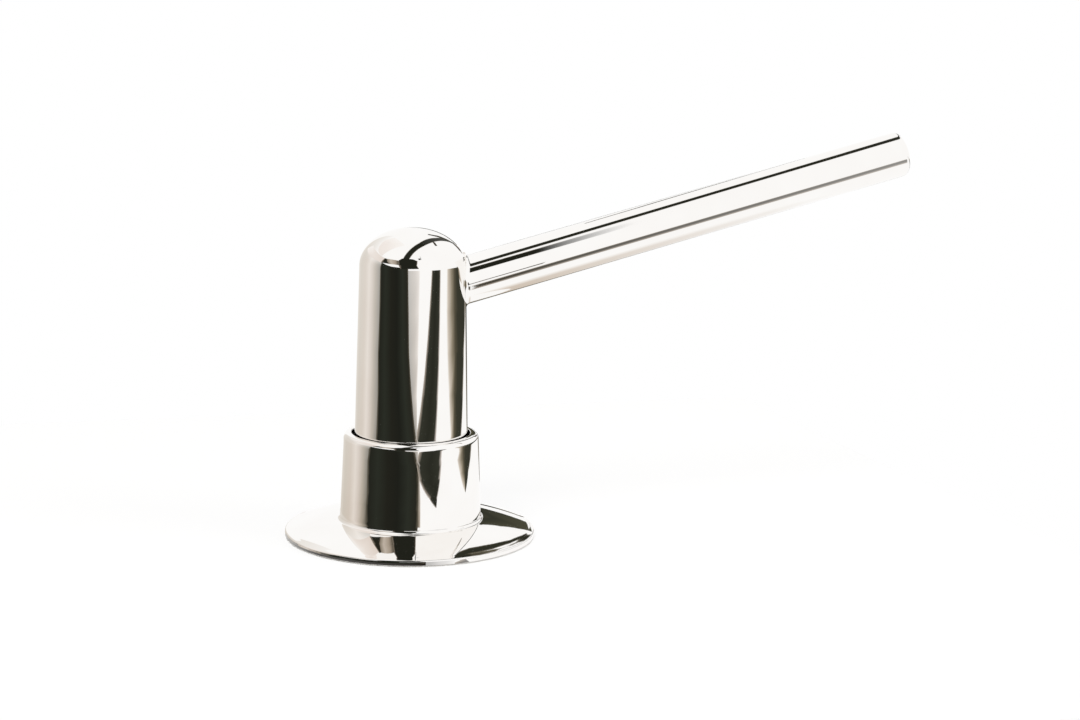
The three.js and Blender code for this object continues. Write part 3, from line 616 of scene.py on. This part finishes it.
def pale_deck():
    """White to the camera, but for the soft shadow that falls on it and the dark under the flange."""
    glow = 0.8          # the share of plain white that the camera sees past the flange
    top_layer = 1       # mm, below this depth the camera sees it as glowing all over
    made, tree = empty_material("pale deck")
    place = add(tree, "ShaderNodeTexCoord").outputs["Object"]
    flat = add(tree, "ShaderNodeVectorMath", {"operation": "MULTIPLY", 1: (1, 1, 0)}, {0: place})
    radius = add(tree, "ShaderNodeVectorMath", {"operation": "LENGTH"}, {0: flat.outputs[0]}).outputs["Value"]
    beyond = add(tree, "ShaderNodeMath", {"operation": "GREATER_THAN", 1: flange_radius * mm}, {0: radius})
    height = add(tree, "ShaderNodeSeparateXYZ", links={0: place}).outputs["Z"]
    below = add(tree, "ShaderNodeMath", {"operation": "LESS_THAN", 1: -top_layer * mm}, {0: height})
    bright = add(tree, "ShaderNodeMath", {"operation": "MAXIMUM"},
                 {0: beyond.outputs[0], 1: below.outputs[0]})
    rays = add(tree, "ShaderNodeLightPath")
    seen = add(tree, "ShaderNodeMath", {"operation": "MULTIPLY"},
               {0: rays.outputs["Is Camera Ray"], 1: bright.outputs[0]})
    share = add(tree, "ShaderNodeMath", {"operation": "MULTIPLY", 1: glow}, {0: seen.outputs[0]})
    lit = add(tree, "ShaderNodeBsdfDiffuse", {"Color": linear("#f4f3f1")})
    white = add(tree, "ShaderNodeEmission", {"Strength": 1})
    mixed = add(tree, "ShaderNodeMixShader",
                links={0: share.outputs[0], 1: lit.outputs[0], 2: white.outputs[0]})
    add(tree, "ShaderNodeOutputMaterial", links={0: mixed.outputs[0]})
    return made


bm = bmesh.new()
bmesh.ops.create_cube(bm, size=1)
bmesh.ops.scale(bm, vec=(deck_size * mm, deck_size * mm, deck_thickness * mm), verts=bm.verts)
bmesh.ops.translate(bm, vec=(0, 0, -(deck_thickness / 2 + deck_gap) * mm), verts=bm.verts)
deck_mesh = bpy.data.meshes.new("deck")
bm.to_mesh(deck_mesh)
bm.free()
deck_mesh.materials.append(pale_deck())
deck = bpy.data.objects.new("deck", deck_mesh)
bpy.context.scene.collection.objects.link(deck)
deck.visible_glossy = False


# Camera: a portrait lens close to the object, a little above it and to the left of its spout. It is
# placed by where the middle of the dispenser's foot stands in the photo.

photo_width, photo_height = 1080, 720
origin_x, origin_y = 410.15, 532.58  # px, the middle of the foot
pixels_per_mm = 4.13      # at the distance below
view_distance = 450       # mm, from the lens to the origin's plane
view_azimuth = -16.94
view_elevation = 9.68
view_roll = 1.2
sensor_width = 36
nearest = 10              # mm, closer things aren't drawn

azimuth, elevation, roll = (math.radians(turn) for turn in (view_azimuth, view_elevation, view_roll))
back = Vector((math.sin(azimuth) * math.cos(elevation), -math.cos(azimuth) * math.cos(elevation),
               math.sin(elevation)))
level_right = Vector((math.cos(azimuth), math.sin(azimuth), 0))
level_up = back.cross(level_right)
right = level_right * math.cos(roll) + level_up * math.sin(roll)
up = level_up * math.cos(roll) - level_right * math.sin(roll)
aside = (origin_x - photo_width / 2) / pixels_per_mm
above = (photo_height / 2 - origin_y) / pixels_per_mm
eye = (back * view_distance - right * aside - up * above) * mm

lens = bpy.data.cameras.new("camera")
lens.sensor_width = sensor_width
lens.lens = sensor_width * view_distance * pixels_per_mm / photo_width
lens.clip_start = nearest * mm
camera = bpy.data.objects.new("camera", lens)
camera.matrix_world = Matrix.Translation(eye) @ Matrix((right, up, back)).transposed().to_4x4()
bpy.context.scene.collection.objects.link(camera)
bpy.context.scene.camera = camera


# Light: a white room and two soft boxes, the stronger one high on the left and a weaker one on the
# right. The metal mirrors the room at full white, and what isn't polished gets a little less from it.

room_light = 0.75  # the room's strength for what isn't polished
world = bpy.data.worlds.new("white room")
bpy.context.scene.world = world
world.use_nodes = True
tree = world.node_tree
tree.nodes.clear()
rays = add(tree, "ShaderNodeLightPath")
seen = add(tree, "ShaderNodeMath", {"operation": "MAXIMUM"},
           {0: rays.outputs["Is Camera Ray"], 1: rays.outputs["Is Glossy Ray"]})
seen = add(tree, "ShaderNodeMath", {"operation": "MAXIMUM"},
           {0: seen.outputs[0], 1: rays.outputs["Is Transmission Ray"]})
strength = add(tree, "ShaderNodeMapRange", {"To Min": room_light, "To Max": 1.0}, {"Value": seen.outputs[0]})
room = add(tree, "ShaderNodeBackground", {"Color": (1, 1, 1, 1)}, {"Strength": strength.outputs[0]})
add(tree, "ShaderNodeOutputWorld", links={0: room.outputs[0]})


def soft_box(name, place, size, power):
    """A square lamp that faces the dispenser's foot, with its place and size in millimetres."""
    lamp = bpy.data.lights.new(name, "AREA")
    lamp.shape = "SQUARE"
    lamp.size = size * mm
    lamp.energy = power
    made = bpy.data.objects.new(name, lamp)
    turned = (-Vector(place)).to_track_quat("-Z", "Y").to_matrix().to_4x4()
    made.matrix_world = Matrix.Translation(Vector(place) * mm) @ turned
    bpy.context.scene.collection.objects.link(made)
    made.visible_glossy = False


soft_box("key", (-500, -600, 900), 500, 6)
soft_box("fill", (700, -400, 500), 400, 2.5)


# Cards round the dispenser, out of the camera's sight, which the polished metal mirrors: the dark
# openings, brown frames and warm grey walls of a room. Each lies on a level plane, where the
# camera's lines of sight meet that plane once the metal has mirrored them, or stands up from there.

toward_camera = math.atan2(eye.x, -eye.y)
floor_level = 0.1  # mm, and so are the other levels
board_level = 140
screen_level = 150
rail_level = 176
ceiling = 2000
basement = -300    # the spout's underside looks past the deck
grazing_in = (0.775, 0.81)  # facing values, 1 being edge on, between which a grazing card comes in
grazing_out = (0.95, 0.97)  # and between which it goes out again


def mirrored(surface, normal, level):
    """Where the line of sight to a point of the metal meets a level plane after it is mirrored. The
    point and the level are in millimetres, and the place that it gives is in metres."""
    ray = surface * mm - eye
    ray = ray - 2 * ray.dot(normal) * normal / normal.dot(normal)
    return surface * mm + ray * (level - surface.z) * mm / ray.z


def on_cone(share, height, radius, slope):
    """The floor point that shows at this share of an upright cone's half width and this height on it."""
    facing = toward_camera + math.asin(share)
    out = Vector((math.sin(facing), -math.cos(facing), 0))
    return mirrored(out * radius + Vector((0, 0, height)), out + Vector((0, 0, slope)), floor_level)


collar_slope = (collar_base_radius - collar_top_radius) / (collar_height - rim_top - skirt_rise)
head_slope = (head_foot_radius - head_shoulder_radius) / (head_shoulder - head_floor)
rim_rows = [0.9]         # mm, heights that the lines on the floor are given at
collar_rows = [6, 10.6, 13, 18, 21.5]
head_rows = [26, 36, 46, 56, 65]


def floor_line(*shares):
    """A line on the floor, given by where it shows: its shares of the half width of the rim, the
    collar and the head at their rows of heights. A shorter list leaves the lowest rows out."""
    rows = [(height, flange_radius, 0) for height in rim_rows]
    rows += [(height, collar_top_radius + collar_slope * (collar_height - height), collar_slope)
             for height in collar_rows]
    rows += [(height, head_radius(height), head_slope) for height in head_rows]
    return [on_cone(share, *row) for share, row in zip(shares, rows[-len(shares):])]


def raised(line, *rises):
    """Points that stand over a line's far end."""
    return [line[-1] + Vector((0, 0, rise)) * mm for rise in rises]


def on_spout(share, level, start=13, end=131, steps=8):
    """A line on a level plane that shows along the spout at this share of its half width."""
    angle = math.radians(spout_angle)
    axis = Vector((math.cos(angle), 0, math.sin(angle)))
    line = []
    for i in range(steps + 1):
        middle = Vector((0, 0, spout_axis_height)) + axis * (start + (end - start) * i / steps)
        toward = eye / mm - middle
        toward = (toward - toward.dot(axis) * axis).normalized()
        normal = toward * math.sqrt(1 - share ** 2) + toward.cross(axis) * share
        line.append(mirrored(middle + normal * spout_radius, normal, level))
    return line


def card_material(name, tones, fade, grazing):
    """A card's glow, by two attributes that say how far a point is across and along the card."""
    material, tree = empty_material(name)
    place = add(tree, "ShaderNodeAttribute", {"attribute_name": "across"}).outputs["Fac"]
    ramp = add(tree, "ShaderNodeValToRGB", links={0: place})
    for position, _ in tones[1:-1]:
        ramp.color_ramp.elements.new(position)
    for stop, (position, hex_code) in zip(ramp.color_ramp.elements, tones):
        stop.position, stop.color = position, linear(hex_code)
    place = add(tree, "ShaderNodeAttribute", {"attribute_name": "along"}).outputs["Fac"]
    share = add(tree, "ShaderNodeMapRange", {"To Min": fade[0], "To Max": fade[1]}, {"Value": place})
    tone = add(tree, "ShaderNodeMix", {"data_type": "RGBA", 7: (1, 1, 1, 1)},
               {0: share.outputs[0], 6: ramp.outputs[0]})
    shown = add(tree, "ShaderNodeEmission", {"Strength": 1}, {"Color": tone.outputs[2]})
    if grazing:
        facing = add(tree, "ShaderNodeLayerWeight", {"Blend": 0.5}).outputs["Facing"]
        low = add(tree, "ShaderNodeMapRange", {"From Min": grazing_in[0], "From Max": grazing_in[1]},
                  {"Value": facing})
        flush = add(tree, "ShaderNodeMapRange", {"From Min": grazing_out[1], "From Max": grazing_out[0]},
                    {"Value": facing})
        share = add(tree, "ShaderNodeMath", {"operation": "MULTIPLY"},
                    {0: low.outputs[0], 1: flush.outputs[0]})
        clear = add(tree, "ShaderNodeBsdfTransparent")
        shown = add(tree, "ShaderNodeMixShader",
                    links={0: share.outputs[0], 1: clear.outputs[0], 2: shown.outputs[0]})
    add(tree, "ShaderNodeOutputMaterial", links={0: shown.outputs[0]})
    return material


def card(name, first, second, tones, fade=(0, 0), grazing=False):
    """A glowing card between two lines of equally many points. Its tones go from the first line to the
    second, and it fades to white by these shares at the lines' starts and ends. A grazing card shows
    only at a low angle, as a dark thing does that a pale polished floor mirrors."""
    bm = bmesh.new()
    across = bm.verts.layers.float.new("across")
    along = bm.verts.layers.float.new("along")
    edges = []
    for value, line in enumerate((first, second)):
        verts = [bm.verts.new(at) for at in line]
        for i, vert in enumerate(verts):
            vert[across], vert[along] = value, i / (len(verts) - 1)
        edges += [bm.edges.new(pair) for pair in zip(verts, verts[1:])]
    bmesh.ops.bridge_loops(bm, edges=edges)
    mesh = bpy.data.meshes.new(name)
    bm.to_mesh(mesh)
    bm.free()
    mesh.materials.append(card_material(name, tones, fade, grazing))
    made = bpy.data.objects.new(name, mesh)
    bpy.context.scene.collection.objects.link(made)
    for sense in ("camera", "diffuse", "shadow", "transmission", "volume_scatter"):
        setattr(made, "visible_" + sense, False)


def level_card(name, level, first, second, tones, fade=(0, 0)):
    """A card on a level plane, between two lines of (x, y) points in millimetres."""
    lines = [[Vector((x, y, level)) * mm for x, y in line] for line in (first, second)]
    card(name, *lines, tones, fade=fade)


def bar(rim, middle, soft):
    """Tones of a bar whose two rims are softer, each over this share of its width."""
    return [(0, rim), (soft, middle), (1 - soft, middle), (1, rim)]


def between(first, second, share):
    return [a + (b - a) * share for a, b in zip(first, second)]


plain_white = [(0, "#ffffff"), (1, "#ffffff")]

# The wall on the left, in warm greys, up to the wide dark opening and the grey strip beside it.
wall = [(-0.985, "#ddd6cc"), (-0.94, "#cec6ba"), (-0.86, "#d2c7bb"), (-0.79, "#e3dad1"), (-0.74, "#d3c8be"),
        (-0.68, "#b0a697")]
wall_height, wall_top = 200, 600
wall_fade, wall_top_fade = 0.3, 0.9
wall_end = "#6b665a"
opening_left = [-0.63, -0.62, -0.619, -0.612, -0.615, -0.617, -0.604, -0.59, -0.6, -0.588, -0.59]
opening_right = [0.11, 0.103, 0.105, 0.11, 0.112, 0.115, 0.089, 0.01, -0.045, -0.063, -0.078]
strip_right = [0.14, 0.14, 0.14, 0.14, 0.13, 0.13, 0.105, 0.095, 0.115, 0.125, 0.135]
wall_lines = [[share] * len(opening_left) for share, tone in wall] + [opening_left]
wall_tones = [tone for share, tone in wall] + [wall_end]
for i in range(len(wall)):
    first, second = floor_line(*wall_lines[i]), floor_line(*wall_lines[i + 1])
    tones = [(0, wall_tones[i]), (1, wall_tones[i + 1])]
    card("wall_%d" % i, first + raised(first, wall_height), second + raised(second, wall_height), tones,
         fade=(0, wall_fade))
    card("wall_top_%d" % i, raised(first, wall_height, wall_top), raised(second, wall_height, wall_top),
         tones, fade=(wall_fade, wall_top_fade))

opening_tones = ["#24251f", "#2b2e27", "#23231d", "#1f201b", "#2c2f28", "#282821"]
opening_heights = [330, 270, 220, 210, 200, 190]
panels = len(opening_tones) - 1
for i in range(panels):
    tones = [(0, opening_tones[i]), (1, opening_tones[i + 1])]
    if i == 0:
        tones = [(0, wall_end), (0.2, opening_tones[0]), tones[1]]
    if i == panels - 1:
        tones = [tones[0], (0.75, opening_tones[-1]), (1, "#5d574a")]
    first = floor_line(*between(opening_left, opening_right, i / panels))
    second = floor_line(*between(opening_left, opening_right, (i + 1) / panels))
    card("opening_%d" % i, first + raised(first, opening_heights[i]),
         second + raised(second, opening_heights[i + 1]), tones)

# The grey strip on the opening's right. Its lines leave the rim's row out.
post_height = 50
strip_tones = [(0, "#6b6457"), (0.25, "#8f8575"), (0.55, "#a99d8f"), (0.85, "#cfc5bb"), (1, "#f7f2ec")]
first, second = floor_line(*opening_right[1:]), floor_line(*strip_right[1:])
card("strip", first, second, strip_tones, fade=(0, 0.5), grazing=True)
card("strip_top", raised(first, 0, post_height), raised(second, 0, post_height), strip_tones, fade=(0.5, 0.5))

# The dark post right of the middle, and the brown frame and dark edge on the right.
post_tones = [(0, "#b3a89c"), (0.12, "#34352d"), (0.5, "#2a2b24"), (0.88, "#34352d"), (1, "#d9d0c9")]
first = floor_line(0.355, 0.265, 0.12, 0.085, 0.074, 0.182, 0.255, 0.309, 0.35)
second = floor_line(0.36, 0.372, 0.418, 0.437, 0.431, 0.466, 0.489, 0.503, 0.512)
card("post", first, second, post_tones, grazing=True)
card("post_top", raised(first, 0, post_height), raised(second, 0, post_height), post_tones)
frame_height, edge_height = 60, 40
inner = floor_line(0.77, 0.70, 0.665, 0.69, 0.66, 0.632, 0.622, 0.63)
middle = floor_line(0.772, 0.765, 0.755, 0.75, 0.755, 0.775, 0.768, 0.765)
outer = floor_line(0.775, 0.825, 0.865, 0.877, 0.915, 0.938, 0.968, 0.975)
frame_tones = [(0, "#f4f0ea"), (0.15, "#cfc5b8"), (0.6, "#8f8674"), (1, "#565143")]
edge_tones = [(0, "#565143"), (0.2, "#3a3a30"), (0.8, "#34352d"), (1, "#a39b8e")]
card("frame", inner, middle, frame_tones, grazing=True)
card("frame_edge", middle, outer, edge_tones, grazing=True)
card("frame_top", raised(inner, 0, frame_height), raised(middle, 0, frame_height), frame_tones)
card("frame_edge_top", raised(middle, 0, frame_height), raised(outer, 0, edge_height), edge_tones)

# Painted shade: dark cards on the deck close to the rim, as an upright rim shows them between these heights.
shade_heights = (0.05, 3.2)
for part, shares, fade in (("left", (-0.995, -0.95, -0.85, -0.72), (0.6, 0.1)),
                           ("front", (-0.72, -0.6, -0.4, -0.2, 0, 0.12), (0.1, 0)),
                           ("right", (0.12, 0.22, 0.34), (0.5, 0.95))):
    near, far = [[on_cone(share, height, flange_radius, 0) for share in shares] for height in shade_heights]
    card("painted_rim_shade_" + part, near, far, [(0, "#1d1a15"), (0.7, "#2b261f"), (1, "#4b443a")], fade=fade)

# Behind the dispenser, seen in the skirt and from the other sides: a dark olive board, a rail over it
# and a brown frame on the floor.
level_card("olive_board", board_level, ((170, 350), (216, 392), (259, 449), (558, 1237)),
           ((70, 385), (120, 480), (150, 560), (272, 1237)),
           [(0, "#4b4a3c"), (0.5, "#35362c"), (1, "#54503f")])
level_card("back_rail", rail_level,
           ((60, 118), (80, 134), (95, 158), (112, 176), (135, 203), (175, 260), (231, 368), (289, 490)),
           ((56, 100), (77, 110), (90, 124), (105, 138), (126, 164), (166, 227), (216, 320), (267, 427)),
           bar("#6f6857", "#2f3027", 0.2))
level_card("back_frame", floor_level, ((40, 45), (300, 340)), ((22, 55), (150, 420)),
           [(0, "#8f8674"), (0.3, "#3a3a30"), (0.9, "#2c2f28"), (1, "#c9c1b8")])

# In front and on the left, above the lens, seen in the skirt by way of the collar: a dark hood with a
# grey side, a dark gap and a pale wall. Two white boards hide what stands behind them.
hood_back = ((-112, -28), (-150, -52), (-196, -98))
level_card("hood", board_level, ((-55, -66), (-83, -79), (-108, -110), (-153, -161), (-700, -900)),
           ((-18, -86), (-3, -110), (-7, -154), (-14, -225), (7, -684)), bar("#8b8175", "#22231d", 0.06))
level_card("hood_side", board_level, hood_back, ((-83, -79), (-108, -110), (-153, -161)),
           [(0, "#8a8072"), (0.3, "#c5bbaf"), (0.7, "#a99d8f"), (1, "#4b463b")])
level_card("hood_gap", board_level, ((-113, -16), (-152, -14), (-222, -14)), hood_back,
           [(0, "#8a8072"), (0.2, "#26261f"), (0.85, "#26261f"), (1, "#8a8072")])
level_card("side_wall", board_level, ((-64, 122), (-90, 245)), ((-117, -16), (-222, -14)),
           [(0, "#faf7f5"), (0.4, "#efe8e3"), (1, "#e6dcd5")])
level_card("pale_board", board_level, ((0, -96), (0, -190)), ((50, -96), (50, -190)), plain_white)
level_card("pale_screen", screen_level, ((-6, -47), (-6, -90)), ((9, -47), (9, -90)), plain_white)

# Overhead: one long dark beam across the ceiling with a short arm, which the dome shows as an arc and
# the spout as a line, a dark shelf beside it, which the spout shows, and pale shade on the left.
beam_rim = "#8a8378"
beam = bar(beam_rim, "#25261f", 0.12)
level_card("beam_front", ceiling, ((-2129, -2843), (-1372, -1703), (-657, -858), (-93, -190), (337, 330)),
           ((-1478, -2940), (-763, -1916), (-140, -875), (244, -340), (520, 0)), beam)
level_card("beam_back", ceiling,
           ((337, 330), (642, 800), (947, 1253), (1339, 1825), (2377, 3873), (4060, 6468)),
           ((520, 0), (852, 466), (1278, 1112), (2041, 2291), (3317, 4455), (6080, 7321)),
           beam, fade=(0, 0.1))
level_card("beam_end", ceiling, ((4060, 6468), (11631, 21628)), ((6080, 7321), (19735, 29122)),
           bar("#9a8c80", "#3b3229", 0.3))
level_card("beam_arm", ceiling, ((985, 768), (1156, 338)), ((1134, 844), (1305, 431)),
           bar(beam_rim, "#2f2e26", 0.3))
for part, start, end, fade in (("near", 9, 30, (0, 0)), ("far", 30, 54, (0, 1))):
    card("shelf_" + part, on_spout(0.24, ceiling, start, end), on_spout(0.43, ceiling, start, end),
         bar(beam_rim, "#1f201a", 0.12), fade=fade)
level_card("pale_shade", ceiling, ((-330, 200), (-330, 1700)), ((-4000, 500), (-2500, 4000)),
           [(0, "#fdfbf9"), (0.3, "#f5efeb"), (1, "#efe7e1")])

# Below the spout: an upright pale panel that hides the post from it, and past the deck a dark line and
# a beige band.
panel_line = ((40, -34), (88, -67), (147, -109), (235, -155))
panel_floors, panel_tops = (58, 57, 54, 52), (68, 76, 84, 95)
lines = [[Vector((x, y, z)) * mm for (x, y), z in zip(panel_line, heights)]
         for heights in (panel_floors, panel_tops)]
card("pale_panel", *lines, plain_white)
card("low_line", on_spout(-0.31, basement), on_spout(-0.47, basement),
     [(0, "#b3a89c"), (0.3, "#4b463b"), (0.7, "#38362d"), (1, "#b3a89c")], fade=(0, 0.25))
card("low_band", on_spout(-0.70, basement, 13, 90), on_spout(-0.98, basement, 13, 90),
     [(0, "#fdfcfa"), (0.2, "#d6cabd"), (0.8, "#cdc0b2"), (1, "#d6cabd")], fade=(0, 1))


# Colours show as they are written.

view_settings = bpy.context.scene.view_settings
view_settings.view_transform = "Standard"
